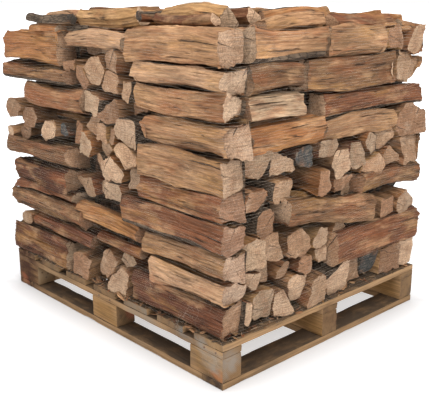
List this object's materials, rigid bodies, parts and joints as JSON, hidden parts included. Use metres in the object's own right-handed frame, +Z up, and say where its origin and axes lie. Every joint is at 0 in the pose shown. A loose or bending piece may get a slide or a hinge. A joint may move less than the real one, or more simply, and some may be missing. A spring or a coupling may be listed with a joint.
{
  "type": "pallet of firewood",
  "caption": "Wooden four-way pallet stacked square with split logs in rows, some lengthwise and some end on, with a few loose logs heaped on top.",
  "frame": {"origin": "middle of the whole load's footprint, on the ground under the pallet", "axes": "+Z up, +X to the right along the longer side, +Y from the front to the back"},
  "size_m": [1.24, 1.04, 1.0991],
  "materials": {
    "base board": "old sawn softwood, dark brown and weathered, with worn pale edges",
    "block": "sawn softwood block, ochre brown, with end grain and stains",
    "deck board": "sawn softwood board, grey brown, with worn pale edges and nail heads",
    "split log": "split firewood, fibrous tan to reddish brown faces, sawn ends and dark bark",
    "stacked logs": "split firewood, sawn tan ends with rings and cracks, brown split faces and dark bark"
  },
  "bodies": {
    "root": {"base_end_board_left": "base board", "base_end_board_right": "base board", "base_board_front": "base board", "block_front_left": "block", "block_front_centre": "block", "block_front_right": "block", "stringer_board_front": "deck board", "base_board_middle": "base board", "block_middle_left": "block", "block_middle_centre": "block", "block_middle_right": "block", "stringer_board_middle": "deck board", "base_board_rear": "base board", "block_rear_left": "block", "block_rear_centre": "block", "block_rear_right": "block", "stringer_board_rear": "deck board", "deck_board_1": "deck board", "deck_board_2": "deck board", "deck_board_3": "deck board", "deck_board_4": "deck board", "deck_board_5": "deck board", "deck_board_6": "deck board", "deck_board_7": "deck board", "front_right_log_1": "split log", "front_right_log_2": "split log", "front_right_log_3": "split log", "front_right_log_4": "split log", "front_right_log_5": "split log", "front_right_log_6": "split log", "front_right_log_7": "split log", "front_right_log_8": "split log", "front_right_log_9": "split log", "front_right_log_10": "split log", "front_left_log_1": "split log", "front_left_log_2": "split log", "front_left_log_3": "split log", "front_left_log_4": "split log", "front_left_log_5": "split log", "front_left_log_6": "split log", "front_left_log_7": "split log", "front_left_log_8": "split log", "front_left_log_9": "split log", "right_near_log_1": "split log", "right_near_log_2": "split log", "right_near_log_3": "split log", "right_near_log_4": "split log", "right_rear_log_1": "split log", "right_rear_log_2": "split log", "right_rear_log_3": "split log", "right_rear_log_4": "split log", "right_cross_log_1": "split log", "right_cross_log_2": "split log", "right_cross_log_3": "split log", "front_middle_logs": "stacked logs", "right_side_logs": "stacked logs", "left_side_logs": "stacked logs", "back_middle_logs": "stacked logs", "middle_logs": "stacked logs"}
  },
  "joints": []
}
